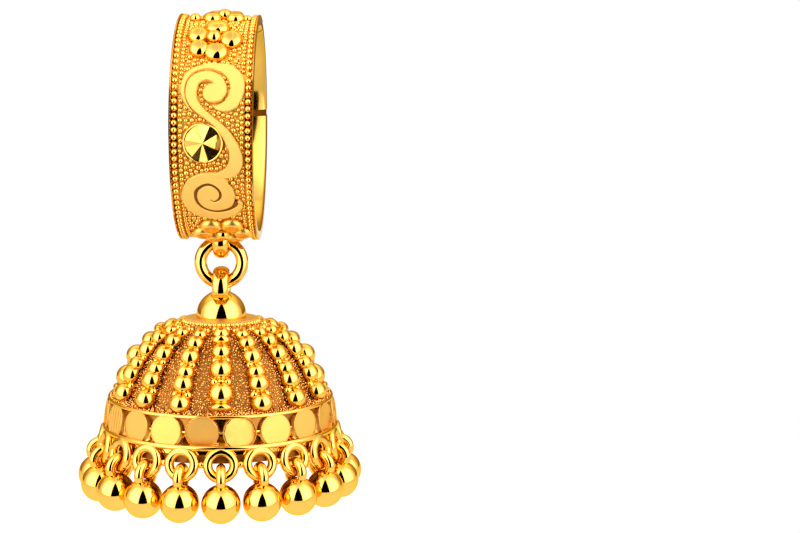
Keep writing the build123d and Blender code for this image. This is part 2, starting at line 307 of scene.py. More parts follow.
def ring(centre, axis, mean_r, thick, wide, steps, sides):
    """A ring about an axis, of wire with half sizes `thick` in the ring's plane and `wide` along the axis."""
    axis = np.array(axis) / np.linalg.norm(axis)
    side = np.cross(axis, [0.0, 0.0, 1.0])
    if np.linalg.norm(side) < 1e-6:
        side = np.array([1.0, 0.0, 0.0])
    side = side / np.linalg.norm(side)
    rise = np.cross(axis, side)
    turn = np.linspace(0, 2 * pi, steps, endpoint=False)[:, None]
    roll = np.linspace(0, 2 * pi, sides, endpoint=False)[None, :]
    radius = mean_r + thick * np.cos(roll)
    along = wide * np.sin(roll) + 0 * turn
    points = (
        np.array(centre)
        + (radius * np.cos(turn))[..., None] * side
        + (radius * np.sin(turn))[..., None] * rise
        + along[..., None] * axis
    )
    return surface(points, wrap_rows=True, wrap_columns=True)


def moved(shape, matrix=None, shift=(0, 0, 0)):
    """A shape turned by a 3x3 matrix and then moved."""
    points, faces = shape
    if matrix is not None:
        points = points @ np.array(matrix).T
    return points + np.array(shift), faces


def about_z(angle):
    """A turn about Z, in degrees."""
    return np.array(Matrix.Rotation(radians(angle), 3, "Z"))


def arc(first, middle, last, count):
    """Points on the circle arc through three (radius, depth) points."""
    a, b, c = (np.array(point) for point in (first, middle, last))
    matrix = 2 * np.array([b - a, c - a])
    centre = np.linalg.solve(matrix, [b @ b - a @ a, c @ c - a @ a])
    start, end = (atan2(*(point - centre)[::-1]) for point in (a, c))
    radius = np.linalg.norm(a - centre)
    return [tuple(centre + radius * np.array([cos(t), sin(t)])) for t in np.linspace(start, end, count)]


def on_hoop(across, round_field, radius):
    """A point of the hoop at a radius from its axis."""
    angle = round_field / FIELD_R
    return np.array([across, -radius * cos(angle), HOOP_Z + radius * sin(angle)])


def hoop_axes(round_field):
    """Rows across, round and outwards at a place on the hoop."""
    angle = round_field / FIELD_R
    return np.array([[1, 0, 0], [0, sin(angle), cos(angle)], [0, -cos(angle), sin(angle)]])


def hoop_lathe(profile, start, end, steps):
    """A closed profile of (across, radius) turned about the hoop's axis between two angles, with end caps."""
    angles = np.radians(np.linspace(start, end, steps))
    across = np.array([point[0] for point in profile])
    radius = np.array([point[1] for point in profile])
    x = np.broadcast_to(across, (steps, len(profile)))
    y = -np.outer(np.cos(angles), radius)
    z = HOOP_Z + np.outer(np.sin(angles), radius)
    verts, faces = surface(np.stack([x, y, z], axis=-1), wrap_columns=True)
    last = (steps - 1) * len(profile)
    faces.append(list(range(len(profile))))
    faces.append([last + corner for corner in reversed(range(len(profile)))])
    return verts, faces


# ---------- scroll work ----------


def smooth(stroke):
    """Points close together on a smooth line through a stroke's points."""
    if len(stroke) == 1:
        return np.array(stroke)
    points = np.array([stroke[0], *stroke, stroke[-1]])
    fine = []
    for a, b, c, d in zip(points, points[1:], points[2:], points[3:]):
        count = max(2, ceil(np.linalg.norm(c[:2] - b[:2]) / STROKE_SPACING))
        bend = 2 * a - 5 * b + 4 * c - d
        twist = 3 * b - a - 3 * c + d
        for t in np.linspace(0, 1, count, endpoint=False):
            fine.append(0.5 * (2 * b + (c - a) * t + bend * t**2 + twist * t**3))
    fine.append(points[-1])
    return np.array(fine)


def stroke_distance(strokes, across, round_field):
    """How far places lie outside the nearest stroke; inside it is below zero."""
    best = np.full(np.shape(across), 9.0)
    for stroke in strokes:
        for centre_u, centre_s, half_width in smooth(stroke):
            best = np.minimum(best, np.hypot(across - centre_u, round_field - centre_s) - half_width)
    return best


def scroll(strokes, top_r, groove=()):
    """A flat bevelled plate of strokes, with a groove cut in it, bent round the hoop."""
    pitch = SCROLL_PITCH
    ends = np.vstack([smooth(stroke) for stroke in strokes])
    low = (ends[:, :2] - ends[:, 2:]).min(axis=0) - 4 * pitch
    high = (ends[:, :2] + ends[:, 2:]).max(axis=0) + 4 * pitch
    across, round_field = np.meshgrid(
        np.arange(low[0], high[0], pitch), np.arange(low[1], high[1], pitch), indexing="ij"
    )

    def measure(u, s):
        inside = stroke_distance(strokes, u, s)
        if groove:
            inside = np.maximum(inside, -stroke_distance(groove, u, s))
        return inside

    edge = measure(across, round_field)
    slope_u, slope_s = np.gradient(edge, pitch)
    steep = np.maximum(np.hypot(slope_u, slope_s), 0.5)
    for level in (0.0, -SCROLL_BEVEL):
        near = np.abs(edge - level) < 0.5 * pitch
        step = np.where(near, (edge - level) / steep**2, 0)
        across = across - step * slope_u
        round_field = round_field - step * slope_s
        edge = np.where(near, level, edge)
    edge_heights = [top_r, top_r - SCROLL_EDGE_DROP, FIELD_R - 0.1]
    height = np.interp(edge, [-SCROLL_BEVEL, 0, 0.9 * pitch], edge_heights)
    points = np.stack(
        [
            across,
            -height * np.cos(round_field / FIELD_R),
            HOOP_Z + height * np.sin(round_field / FIELD_R),
        ],
        axis=-1,
    )
    verts, quads = surface(points)
    edge = edge.reshape(-1)
    triangles = []
    for a, b, c, d in quads:
        if max(edge[[a, b, c, d]]) > 1.6 * pitch:
            continue
        if abs(edge[a] - edge[c]) < abs(edge[b] - edge[d]):
            triangles += [[a, b, c], [a, c, d]]
        else:
            triangles += [[a, b, d], [b, c, d]]
    used = sorted({corner for triangle in triangles for corner in triangle})
    number = {corner: place for place, corner in enumerate(used)}
    return verts[used], [[number[corner] for corner in triangle] for triangle in triangles]


def facet_disc(disc_place, facets):
    """Leaning facets that meet at a point, inside a thin raised ring."""
    across, round_field, outer, top_r, middle_r = disc_place
    axes = hoop_axes(round_field)
    centre = on_hoop(across, round_field, 0)
    shapes = []
    inner = outer - FACET_DISC_RIM

    def place(direction, radius, height):
        turn = radians(direction)
        return centre + radius * (sin(turn) * axes[0] + cos(turn) * axes[1]) + height * axes[2]

    edges = [facet[0] for facet in facets] + [facets[0][0] + 360]
    for number, (start, right, up) in enumerate(facets):
        end = edges[number + 1]
        middle = (start + end) / 2
        top = [place(0, 0, middle_r)]
        foot = []
        for direction in (start, middle, end):
            turn = radians(direction)
            drop = inner * (tan(radians(right)) * sin(turn) + tan(radians(up)) * cos(turn))
            top.append(place(direction, inner, middle_r - drop))
            foot.append(place(direction, inner, FIELD_R - 0.2))
        shapes.append((np.array(top + foot + [foot[0]]), [[0, 1, 2], [0, 2, 3], [0, 4, 1], [0, 3, 6]]))
    rim = [
        (inner - 0.02, top_r - 0.14), (inner, top_r - 0.02), (inner + 0.04, top_r),
        (outer - 0.02, top_r - 0.03), (outer, top_r - 0.08), (outer, FIELD_R - 0.1),
    ]
    turned, faces = lathe(rim, 72)
    shapes.append((centre + turned @ axes, faces))
    return joined(shapes)


# ---------- granulation ----------


def taken_by_ornament(across, round_field):
    """How far a place on the hoop lies outside the ornament."""
    far = stroke_distance([COMMA, S_SCROLL, S_EYE, LOWER_RIM, LOWER_FIELD], across, round_field)
    far = np.minimum(far, np.hypot(across - FACET_DISC[0], round_field - FACET_DISC[1]) - FACET_DISC[2])
    for u, s, half_u, half_s, _ in PETALS:
        reach = np.hypot((across - u) / half_u, (round_field - s) / half_s) - 1
        far = np.minimum(far, reach * min(half_u, half_s))
    for u, s, radius in FLOWER_CENTRES + BIG_GRANULES:
        far = np.minimum(far, np.hypot(across - u, round_field - s) - radius)
    return far


def granules():
    """Close-packed granules of mixed size on the hoop's field, as (across, round, radius)."""
    rng = random.Random(7)
    half = HOOP_HALF_WIDTH - RIM_FOOT
    low = radians(LEAF_BOTTOM_ANGLE - 360) * FIELD_R + 0.2
    high = radians(LEAF_TOP_ANGLE) * FIELD_R - 0.2
    cell = 2 * GRANULE_SIZES[0][0]
    cells = {}
    placed = []

    def room_for(u, s, radius):
        column, row = int(u // cell), int(s // cell)
        for i in (column - 1, column, column + 1):
            for j in (row - 1, row, row + 1):
                for u2, s2, radius2 in cells.get((i, j), ()):
                    if hypot(u - u2, s - s2) < GRANULE_OVERLAP * (radius + radius2):
                        return False
        return True

    def put(u, s, radius):
        cells.setdefault((int(u // cell), int(s // cell)), []).append((u, s, radius))
        placed.append((u, s, radius))

    for side in (-1, 1):
        s = low
        while s < high:
            radius = rng.uniform(0.14, 0.18)
            u = side * (half - radius - rng.uniform(0.0, 0.05))
            if taken_by_ornament(np.array(u), np.array(s)) > 0.4 * radius:
                put(u, s, radius)
            s += radius + rng.uniform(0.15, 0.2)
    for size, tries in GRANULE_SIZES:
        u = np.array([rng.uniform(-half + size, half - size) for _ in range(tries)])
        s = np.array([rng.uniform(low, high) for _ in range(tries)])
        free = taken_by_ornament(u, s) > max(0.45 * size, 0.12)
        for place_u, place_s in zip(u[free], s[free]):
            radius = size * rng.uniform(0.92, 1.06)
            if room_for(place_u, place_s, radius):
                put(place_u, place_s, radius)
    return placed


# ---------- pieces ----------


def add_piece(name, shape, material, body, stands_for=(), sharp=None):
    """Makes a mesh piece from a shape in millimetres, and fixes it to its body."""
    verts, faces = shape
    mesh = bpy.data.meshes.new(name)
    mesh.from_pydata((verts * MM).tolist(), [], faces)
    work = bmesh.new()
    work.from_mesh(mesh)
    bmesh.ops.remove_doubles(work, verts=work.verts, dist=1e-8)
    bmesh.ops.recalc_face_normals(work, faces=work.faces)
    work.to_mesh(mesh)
    work.free()
    mesh.shade_smooth()
    if sharp is not None:
        mesh.set_sharp_from_angle(angle=radians(sharp))
    piece = bpy.data.objects.new(name, mesh)
    piece.data.materials.append(material)
    bpy.context.scene.collection.objects.link(piece)
    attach(piece, body)
    if stands_for:
        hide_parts(*stands_for)


TONE_SPREAD = 0.06  # how much darker the gold is in its darkest patches


def gold(name, colour, roughness, waves=None, grain=None, metallic=1.0):
    """Solid gold. Waves and grain are (size in mm, depth in mm) of the surface's slow and fine unevenness."""
    material = bpy.data.materials.new(name)
    material.use_nodes = True
    nodes = material.node_tree.nodes
    links = material.node_tree.links
    shader = nodes["Principled BSDF"]
    shader.inputs["Metallic"].default_value = metallic
    shader.inputs["Specular Tint"].default_value = (1.0, 0.78, 0.36, 1.0)
    place = nodes.new("ShaderNodeTexCoord")
    tone = nodes.new("ShaderNodeTexNoise")
    tone.inputs["Scale"].default_value = 900
    tone.inputs["Detail"].default_value = 4
    links.new(place.outputs["Object"], tone.inputs["Vector"])
    ramp = nodes.new("ShaderNodeValToRGB")
    ramp.color_ramp.elements[0].position = 0.3
    ramp.color_ramp.elements[0].color = tuple(channel * (1 - TONE_SPREAD) for channel in colour) + (1,)
    ramp.color_ramp.elements[1].position = 0.7
    ramp.color_ramp.elements[1].color = tuple(colour) + (1,)
    links.new(tone.outputs["Fac"], ramp.inputs["Fac"])
    links.new(ramp.outputs["Color"], shader.inputs["Base Color"])
    polish = nodes.new("ShaderNodeMapRange")
    polish.inputs["To Min"].default_value = roughness * 0.8
    polish.inputs["To Max"].default_value = roughness * 1.25
    links.new(tone.outputs["Fac"], polish.inputs["Value"])
    links.new(polish.outputs["Result"], shader.inputs["Roughness"])
    normal = None
    for size, depth in filter(None, (waves, grain)):
        pattern = nodes.new("ShaderNodeTexNoise")
        pattern.inputs["Scale"].default_value = 1 / (size * MM)
        pattern.inputs["Detail"].default_value = 2
        links.new(place.outputs["Object"], pattern.inputs["Vector"])
        bump = nodes.new("ShaderNodeBump")
        bump.inputs["Distance"].default_value = depth * MM
        links.new(pattern.outputs["Fac"], bump.inputs["Height"])
        if normal:
            links.new(normal, bump.inputs["Normal"])
        normal = bump.outputs["Normal"]
    if normal:
        links.new(normal, shader.inputs["Normal"])
    return material


GOLD = (0.91, 0.55, 0.105)
BRIGHT_GOLD = (0.91, 0.535, 0.098)
polished = gold("polished_gold", BRIGHT_GOLD, 0.05, waves=(1.2, 0.004))
granulated = gold("granulated_gold", GOLD, 0.2, waves=(0.3, 0.006))
cut_gold = gold("cut_gold", GOLD, 0.15)
disc_gold = gold("disc_gold", (0.78, 0.44, 0.09), 0.5)
soft = gold("soft_gold", GOLD, 0.33)
SATIN = {"waves": (0.8, 0.003), "grain": (0.05, 0.002)}
satin = gold("satin_gold", (0.80, 0.50, 0.15), 0.55, **SATIN)
frosted = gold("frosted_gold", (0.92, 0.575, 0.122), 0.62, **SATIN, metallic=0.5)
bead_gold = gold("bead_gold", BRIGHT_GOLD, 0.1, waves=(1.2, 0.004))
inner = gold("inner_gold", (0.72, 0.41, 0.068), 0.09, waves=(2.8, 0.03))
# Very dark gold that stands for shade in deep grooves and gaps: painted shade, used for the groove strip, the
# seam's lap and the skirt's foot.
painted_shade = gold("painted_shade_gold", (0.25, 0.095, 0.015), 0.4)
# Dark gold for the wall behind the discs, darker than the gold itself: painted shade in the gaps behind the
# discs.
backing_painted_shade = gold("backing_painted_shade_gold", (0.36, 0.155, 0.025), 0.2)
matte = gold("matte_gold", (0.85, 0.48, 0.08), 0.4, grain=(0.12, 0.03))
# Sandblasted gold: the grain and roughness are the surface's own, the very dark base colour is painted shade
# between the grains.
blasted_painted_shade = gold("blasted_painted_shade_gold", (0.23, 0.095, 0.014), 0.3, grain=(0.08, 0.04))
glitter = gold("glitter_gold", (0.92, 0.50, 0.13), 0.15)


def inner_wall():
    """The right half of the hoop's inner wall, as (across, radius): a rounded edge, then gently convex."""
    half = HOOP_HALF_WIDTH
    edge = [(half, 0.55), (half - 0.03, 0.42), (half - 0.1, 0.31), (half - 0.2, 0.24)]
    crown = [(u, 0.55 * (u / half) ** 2 - 0.25) for u in np.linspace(half - 0.35, 0, 12)]
    return [(u, HOOP_INNER_R + rise) for u, rise in edge + crown]


def both_sides(right):
    """A half profile and its mirror image, as one closed profile."""
    return [*right, *[(-u, r) for u, r in reversed(right) if u > 0]]


def make_hoop():
    """The band with its rims, ornament, granulation and eye, and the leaf and pin behind."""
    half = HOOP_HALF_WIDTH
    lip = half - RIM_LIP
    foot = half - RIM_FOOT
    right = [
        (foot, FIELD_R - 0.04), (foot + 0.02, FIELD_R + 0.06), (lip, FIELD_R + 0.06), (lip, RIM_R - 0.04),
        (lip + 0.03, RIM_R), (half - 0.04, RIM_R), (half, RIM_R - 0.06), *inner_wall(),
    ]
    shell = hoop_lathe(both_sides(right), LEAF_BOTTOM_ANGLE - 360, LEAF_TOP_ANGLE, HOOP_STEPS)
    add_piece("hoop_shell", shell, inner, "hoop", ["hoop_band"], sharp=35)

    strip = [(foot, FIELD_R - 0.1), (foot, FIELD_R - 0.02), (-foot, FIELD_R - 0.02), (-foot, FIELD_R - 0.1)]
    field = hoop_lathe(strip, LEAF_BOTTOM_ANGLE - 359.8, LEAF_TOP_ANGLE - 0.2, HOOP_STEPS)
    add_piece("hoop_field", field, matte, "hoop", sharp=35)

    step = degrees(RIM_BEAD_STEP / RIM_R)
    places = []
    for side in (-1, 1):
        angle = LEAF_BOTTOM_ANGLE - 360 + step / 2
        while angle < LEAF_TOP_ANGLE - step / 4:
            centre = on_hoop(side * RIM_BEAD_LINE, radians(angle) * FIELD_R, RIM_R - RIM_BEAD_R)
            places.append(round_ball(centre, RIM_BEAD_R))
            angle += step
    add_piece("hoop_rim_beads", balls(places, 3), granulated, "hoop")

    front = []
    back = []
    for across, round_field, radius in granules():
        place = round_ball(on_hoop(across, round_field, FIELD_R + GRANULE_RISE * radius), radius)
        (front if abs(round_field) < GRANULES_FRONT else back).append(place)
    add_piece("hoop_granules_front", balls(front, 2), granulated, "hoop")
    add_piece("hoop_granules_back", balls(back, 2), granulated, "hoop")

    plates = [
        ("hoop_scroll_comma", scroll([COMMA], SCROLL_TOP_R), frosted),
        ("hoop_scroll_s", scroll([S_SCROLL, S_EYE], SCROLL_TOP_R + S_SCROLL_RISE), frosted),
        ("hoop_scroll_lower", scroll([LOWER_RIM, LOWER_FIELD], SCROLL_TOP_R, [LOWER_GROOVE]), frosted),
        # This strip is dark gold laid in the groove: painted shade.
        ("hoop_scroll_groove", scroll([LOWER_GROOVE], SCROLL_TOP_R - GROOVE_DEPTH), painted_shade),
    ]
    for name, plate, material in plates:
        add_piece(name, plate, material, "hoop", sharp=38)
    add_piece("hoop_facet_disc", facet_disc(FACET_DISC, FACETS), cut_gold, "hoop", sharp=8)

    petals = []
    for across, round_field, half_u, half_s, height in PETALS:
        axes = hoop_axes(round_field) * np.array([[half_u], [half_s], [height]])
        petals.append((on_hoop(across, round_field, FIELD_R), axes))
    domes = []
    for across, round_field, radius in FLOWER_CENTRES:
        domes.append(round_ball(on_hoop(across, round_field, FIELD_R + 0.5 * radius), radius))
    for across, round_field, radius in BIG_GRANULES:
        domes.append(round_ball(on_hoop(across, round_field, FIELD_R + 0.45 * radius), radius))
    lower = [place for place in petals if place[0][2] < HOOP_Z]
    upper = [place for place in petals if place[0][2] > HOOP_Z]
    flowers = joined([balls(upper, 5, PETAL_SQUARENESS), balls(domes, 4)])
    add_piece("hoop_flowers_upper", flowers, polished, "hoop")
    add_piece("hoop_flower_lower", balls(lower, 4, PETAL_SQUARENESS), soft, "hoop")

    eye_z, half_width = HOOP_EYE
    eye = ring((0, 0, eye_z), (1, 0, 0), EYE_MEAN_R, EYE_HALF_THICKNESS, half_width, *EYE_STEPS)
    add_piece("hoop_eye", eye, polished, "hoop")

    wall = [(0, LEAF_OUTER_R), (half - 0.1, LEAF_OUTER_R), (half, LEAF_OUTER_R - 0.1), *inner_wall()]
    low = LEAF_BOTTOM_ANGLE - LOWER_SEAM_ANGLE
    leaf = hoop_lathe(both_sides(wall), LEAF_TOP_ANGLE + SEAM_ANGLE, low, 64)
    lap = [(half - 0.04, HOOP_INNER_R + 0.62), (half - 0.04, HOOP_INNER_R + 0.8)]
    tongue = hoop_lathe(both_sides(lap), low - 0.5, LEAF_BOTTOM_ANGLE + 0.5, 4)
    reach = sqrt(HOOP_INNER_R**2 - HOOP_Z**2)
    ends = [
        (0, -reach - 0.3), (PIN_R - 0.05, -reach - 0.3), (PIN_R, -reach),
        (PIN_R, reach), (PIN_R, reach + 0.3),
    ]
    pin = moved(lathe(ends, 40), np.array([[1, 0, 0], [0, 0, 1], [0, -1, 0]]))
    clasp = joined([leaf, pin])
    add_piece("ear_leaf_and_pin", clasp, inner, "hoop", ["ear_clasp"], sharp=35)
    # The lap is dark gold across the seam between leaf and band: painted shade in the seam.
    add_piece("ear_leaf_lap", tongue, painted_shade, "hoop", sharp=35)


def make_link():
    """The round ring between the two eyes."""
    shape = ring((0, 0, LINK_Z), (0, 1, 0), LINK_MEAN_R, LINK_WIRE_R, LINK_WIRE_R, *LINK_STEPS)
    add_piece("link_ring_wire", shape, polished, "link", ["link_ring"])


def rib_places(rib, turn):
    """Places of a rib's beads, turned about Z."""
    places = []
    spin = about_z(turn)
    for number, (radius, depth, half_width, half_height, spread) in enumerate(rib):
        above = rib[max(number - 1, 0)]
        below = rib[min(number + 1, len(rib) - 1)]
        run = atan2(below[1] - above[1], below[0] - above[0])
        outward = np.array([sin(run), 0, cos(run)])
        down = np.array([cos(run), 0, -sin(run)])
        for shift in spread or (0,):
            centre = np.array([radius, shift, -depth])
            thickness = min(half_width, 0.5 + half_height / 2)
            axes = np.array([outward * thickness, [0, half_width, 0], down * half_height])
            places.append((spin @ centre + [0, 0, DOME_Z], axes @ spin.T))
    return places


def dome_grains(outside):
    """Fine angular grains all over the bell's outside, from (radius, depth) points down its side."""
    rng = random.Random(11)
    points = np.array(outside)
    run = np.concatenate([[0], np.cumsum(np.hypot(*np.diff(points, axis=0).T))])
    places = []
    for along in np.arange(0, run[-1], GRAIN_STEP):
        count = int(2 * pi * np.interp(along, run, points[:, 0]) / GRAIN_STEP)
        for number in range(count):
            here = along + rng.uniform(-0.4, 0.4) * GRAIN_STEP
            r, depth = np.interp(here, run, points[:, 0]), np.interp(here, run, points[:, 1])
            turn = 2 * pi * (number + rng.uniform(-0.4, 0.4)) / count
            spin = np.array(Matrix.Rotation(rng.uniform(0, 2 * pi), 3, (rng.random(), rng.random(), 1)))
            size = rng.uniform(0.75, 1.2) * GRAIN_R
            places.append((np.array([r * cos(turn), r * sin(turn), DOME_Z - depth]), spin * size))
    return balls(places, 1)


def make_dome():
    """The bell with its grains, ribs, finial, plate and eye."""
    outside = arc(*DOME_OUTSIDE[:3], 24)[:-1] + arc(*DOME_OUTSIDE[2:], 24) + DOME_FOOT
    inside = arc(*DOME_INSIDE[:3], 16)[:-1] + arc(*DOME_INSIDE[2:], 16)
    profile = [(0, 0), *outside, *reversed(inside), (0, DOME_INSIDE[0][1])]
    skin = lathe([(r, DOME_Z - depth) for r, depth in profile], ROUND_STEPS)
    # The bell's skin is dark with painted shade between its grains, on top of its sandblasted grain.
    add_piece("dome_skin", skin, blasted_painted_shade, "drop", ["jhumka_dome"], sharp=50)

    add_piece("dome_grains", dome_grains(outside), glitter, "drop", sharp=10)

    large = []
    small = []
    for number in range(RIB_COUNT):
        rib = PLAIN_RIB if number % CARDINAL_STEP else CARDINAL_RIB
        places = rib_places(rib, DOME_TURN - 90 + number * 360 / RIB_COUNT)
        for centre, axes in places:
            (large if np.linalg.norm(axes[1]) > LARGE_BEAD else small).append((centre, axes))
    add_piece("dome_rib_beads", balls(large, 4, sunk=BEAD_SUNK), bead_gold, "drop")
    add_piece("dome_rib_seeds", balls(small, 3), bead_gold, "drop")

    low = atan2(PLATE_Z - FINIAL_Z, sqrt(FINIAL_R**2 - (FINIAL_Z - PLATE_Z) ** 2))
    dome = [(FINIAL_R * cos(t), FINIAL_Z + FINIAL_R * sin(t)) for t in np.linspace(low, pi / 2, 40)]
    dome[-1] = (0, FINIAL_Z + FINIAL_R)
    add_piece("finial_ball", lathe(dome, 96), polished, "drop")
    plate = [
        (0, PLATE_Z), (PLATE_R - 0.1, PLATE_Z), (PLATE_R, PLATE_Z - 0.06),
        (PLATE_R, PLATE_Z - PLATE_THICKNESS), (0, PLATE_Z - PLATE_THICKNESS),
    ]
    add_piece("finial_plate", lathe(plate, 128), satin, "drop", sharp=30)
    beads = []
    for number in range(PLATE_BEADS):
        turn = 2 * pi * number / PLATE_BEADS
        centre = np.array([PLATE_R * cos(turn), PLATE_R * sin(turn), PLATE_Z - 0.6 * PLATE_THICKNESS])
        beads.append((centre, np.diag([PLATE_BEAD_R, PLATE_BEAD_R, PLATE_BEAD_R * 1.1])))
    add_piece("finial_plate_beads", balls(beads, 3), granulated, "drop")

    eye_z, half_width = DOME_EYE
    eye = ring((0, 0, eye_z), (1, 0, 0), EYE_MEAN_R, EYE_HALF_THICKNESS, half_width, *EYE_STEPS)
    add_piece("dome_eye", eye, polished, "drop")


def disc(style, disc_lean, lean, turn_right):
    """A coin facing +X, with a thin edge round a leaning face that is plain, radial or striped."""
    rim = [
        (DISC_FACE_R, -DISC_DEPTH), (DISC_FACE_R, -0.03), (DISC_FACE_R + 0.015, 0), (DISC_R - 0.02, -0.01),
        (DISC_R, -0.05), (DISC_R, -DISC_DEPTH), (0, -DISC_DEPTH),
    ]
    lean = tan(radians(lean))
    aside = tan(radians(turn_right))
    if style == "stripes":
        rows = []
        for number, y in enumerate(np.linspace(-0.995, 0.995, 13) * DISC_FACE_R):
            reach = sqrt(DISC_FACE_R**2 - y**2)
            fold = STRIPE_FOLD * (number % 2)
            rows.append([(x, y, -lean * x - aside * y - fold) for x in (-reach, reach)])
        plate = surface(np.array(rows))
    else:
        count = 12 if style == "fan" else 48
        points = [(0, 0, 0)]
        for number in range(count):
            turn = 2 * pi * number / count
            fold = FAN_FOLD * (number % 2) if style == "fan" else 0
            x, y = DISC_FACE_R * cos(turn), DISC_FACE_R * sin(turn)
            points.append((x, y, -lean * x - aside * y - fold))
        plate = np.array(points), [[0, 1 + number, 1 + (number + 1) % count] for number in range(count)]
    plate = moved(plate, shift=(0, 0, -0.03 - 0.5 * abs(lean) * DISC_FACE_R))
    return moved(joined([lathe(rim, 56), plate]), Matrix.Rotation(pi / 2 + radians(disc_lean), 3, "Y"))


def make_band():
    """The openwork band: wires, ledge, mirror discs and bridges, and the loops below."""
    wires = []
    for radius, depth, wire_r in (TOP_WIRE, BOTTOM_WIRE):
        wires.append(ring((0, 0, DOME_Z - depth), (0, 0, 1), radius, wire_r, wire_r, ROUND_STEPS, 16))
    top_r, top_depth, _ = TOP_WIRE
    ledge = [
        (DOME_INSIDE[-1][0], DOME_Z - top_depth + 0.24), (top_r, DOME_Z - top_depth + 0.1),
        (top_r, DOME_Z - top_depth - 0.06), (DOME_INSIDE[-1][0], DOME_Z - top_depth),
    ]
    wires.append(lathe([*ledge, ledge[0]], ROUND_STEPS))
    add_piece("band_wires", joined(wires), polished, "drop", sharp=40)
    # The backing and the skirt's foot are dark for painted shade behind the discs and in the loops' holes.
    walls = [
        ("band_backing", BACKING, backing_painted_shade),
        ("band_skirt", SKIRT, polished),
        ("band_skirt_foot", SKIRT_FOOT, painted_shade),
    ]
    for name, (radius, top, bottom), material in walls:
        inside = radius - WALL_THICKNESS
        wall = [(inside, top), (radius, top), (radius, bottom), (inside, bottom)]
        wall = lathe([(r, DOME_Z - depth) for r, depth in [*wall, wall[0]]], ROUND_STEPS)
        add_piece(name, wall, material, "drop", sharp=40)

    mid_r = (TOP_WIRE[0] + BOTTOM_WIRE[0]) / 2 + DISC_FORWARD
    mid_z = DOME_Z - (TOP_WIRE[1] + BOTTOM_WIRE[1]) / 2
    discs = []
    bridges = []
    loops = []
    seeds = []
    pitch = 360 / BAND_COUNT
    for number in range(BAND_COUNT):
        here = about_z(DOME_TURN - 90 + number * pitch)
        between = about_z(DOME_TURN - 90 + (number + 0.5) * pitch)
        discs.append(moved(moved(disc(*DISC_STYLES[number]), shift=(mid_r, 0, mid_z)), between))
        bridges.append((here @ [mid_r - BRIDGE_BACK, 0, mid_z], np.diag(BRIDGE) @ here.T))
        axis = (cos(radians(LOOP_LEAN)), 0, sin(radians(LOOP_LEAN)))
        centre = (LOOP_CENTRE_R, 0, DOME_Z - LOOP_DEPTH)
        loop = ring(centre, axis, LOOP_MEAN_R, LOOP_WIRE_R, LOOP_WIRE_R, *LOOP_STEPS)
        loops.append(moved(loop, here))
        seed = between @ [LOOP_CENTRE_R * cos(radians(pitch / 2)), 0, DOME_Z - LOOP_DEPTH]
        seeds.append(round_ball(seed, LOOP_BRIDGE_R))
    add_piece("band_discs", joined(discs), disc_gold, "drop", sharp=20)
    add_piece("band_bridges", balls(bridges + seeds, 3), polished, "drop")
    add_piece("fringe_loops", joined(loops), polished, "drop")


def make_balls():
    """The twenty hanging balls, each with its eye."""
    lean = radians(LOOP_LEAN)
    tilt = np.array(Matrix.Rotation(-lean, 3, "Y"))
    ball = balls([round_ball((0, 0, -BALL_BELOW_WIRE), BALL_R)], 5)
    wire_r = BALL_EYE_WIRE_R
    eye = ring((0, 0, -BALL_EYE_BELOW_WIRE), (0, 1, 0), BALL_EYE_MEAN_R, wire_r, wire_r, *BALL_EYE_STEPS)
    hung = moved(joined([ball, eye]), tilt)
    loop_foot = (LOOP_CENTRE_R + LOOP_MEAN_R * sin(lean), 0, DOME_Z - LOOP_DEPTH - LOOP_MEAN_R * cos(lean))
    hung = moved(hung, shift=loop_foot)
    for number in range(BAND_COUNT):
        turned = moved(hung, about_z(DOME_TURN - 90 + number * 360 / BAND_COUNT))
        node = f"ball_drop_{number + 1:02d}"
        add_piece(f"hanging_ball_{number + 1:02d}", turned, polished, "drop", [node])


# ---------- studio ----------

CAMERA_AZIMUTH = 5.2
CAMERA_ELEVATION = 7.0
CAMERA_DISTANCE = 112.5
CAMERA_TARGET = (0, 0, -15.45)
AIM_RIGHT = 6.79  # the earring hangs left of the picture's middle
AIM_UP = 0.33
LENS = 67.5
# The tent of softboxes: its half depth in mm, then its side slope, ridge, foot and back end in that unit.
TENT = 300.0
TENT_SLOPE = 0.183
TENT_RIDGE = 2.36
TENT_LOW = -1.7
TENT_BACK = 0.15
SOFTBOX_COLOUR = (1.0, 0.94, 1.03)
SOFTBOX_STRENGTH = 4.25
SOFTBOX_FALLOFF = 0.76
# Where a softbox is brightest and how fast it dims, as azimuth and elevation from the earring.
SOFTBOX_MIDDLE = (52, 20)
SOFTBOX_REACH = (50, 68)
FLOOR_Z = -34.3
FLOOR_FRONT = -24.0
BACKDROP_R = 900


def glow(name, strength, colour=(1, 1, 1), falloff=0.0):
    """A plain light surface. With falloff it dims from its middle outwards."""
    material = bpy.data.materials.new(name)
    material.use_nodes = True
    nodes = material.node_tree.nodes
    links = material.node_tree.links
    nodes.remove(nodes["Principled BSDF"])
    light = nodes.new("ShaderNodeEmission")
    light.inputs["Color"].default_value = (*colour, 1)
    light.inputs["Strength"].default_value = strength
    if falloff:
        reach = nodes.new("ShaderNodeAttribute")
        reach.attribute_name = "reach"
        dim = nodes.new("ShaderNodeMapRange")
        dim.interpolation_type = "SMOOTHSTEP"
        dim.inputs["From Min"].default_value = 0.1
        dim.inputs["To Min"].default_value = strength
        dim.inputs["To Max"].default_value = strength * (1 - falloff)
        links.new(reach.outputs["Fac"], dim.inputs["Value"])
        links.new(dim.outputs["Result"], light.inputs["Strength"])
    links.new(light.outputs["Emission"], nodes["Material Output"].inputs["Surface"])
    return material


def sky_point(azimuth, elevation, distance):
    """A point round the earring, azimuth from the front, to the right."""
    a, e = radians(azimuth), radians(elevation)
    back = np.array([sin(a) * cos(e), -cos(a) * cos(e), sin(e)])
    return np.array(CAMERA_TARGET) + distance * back


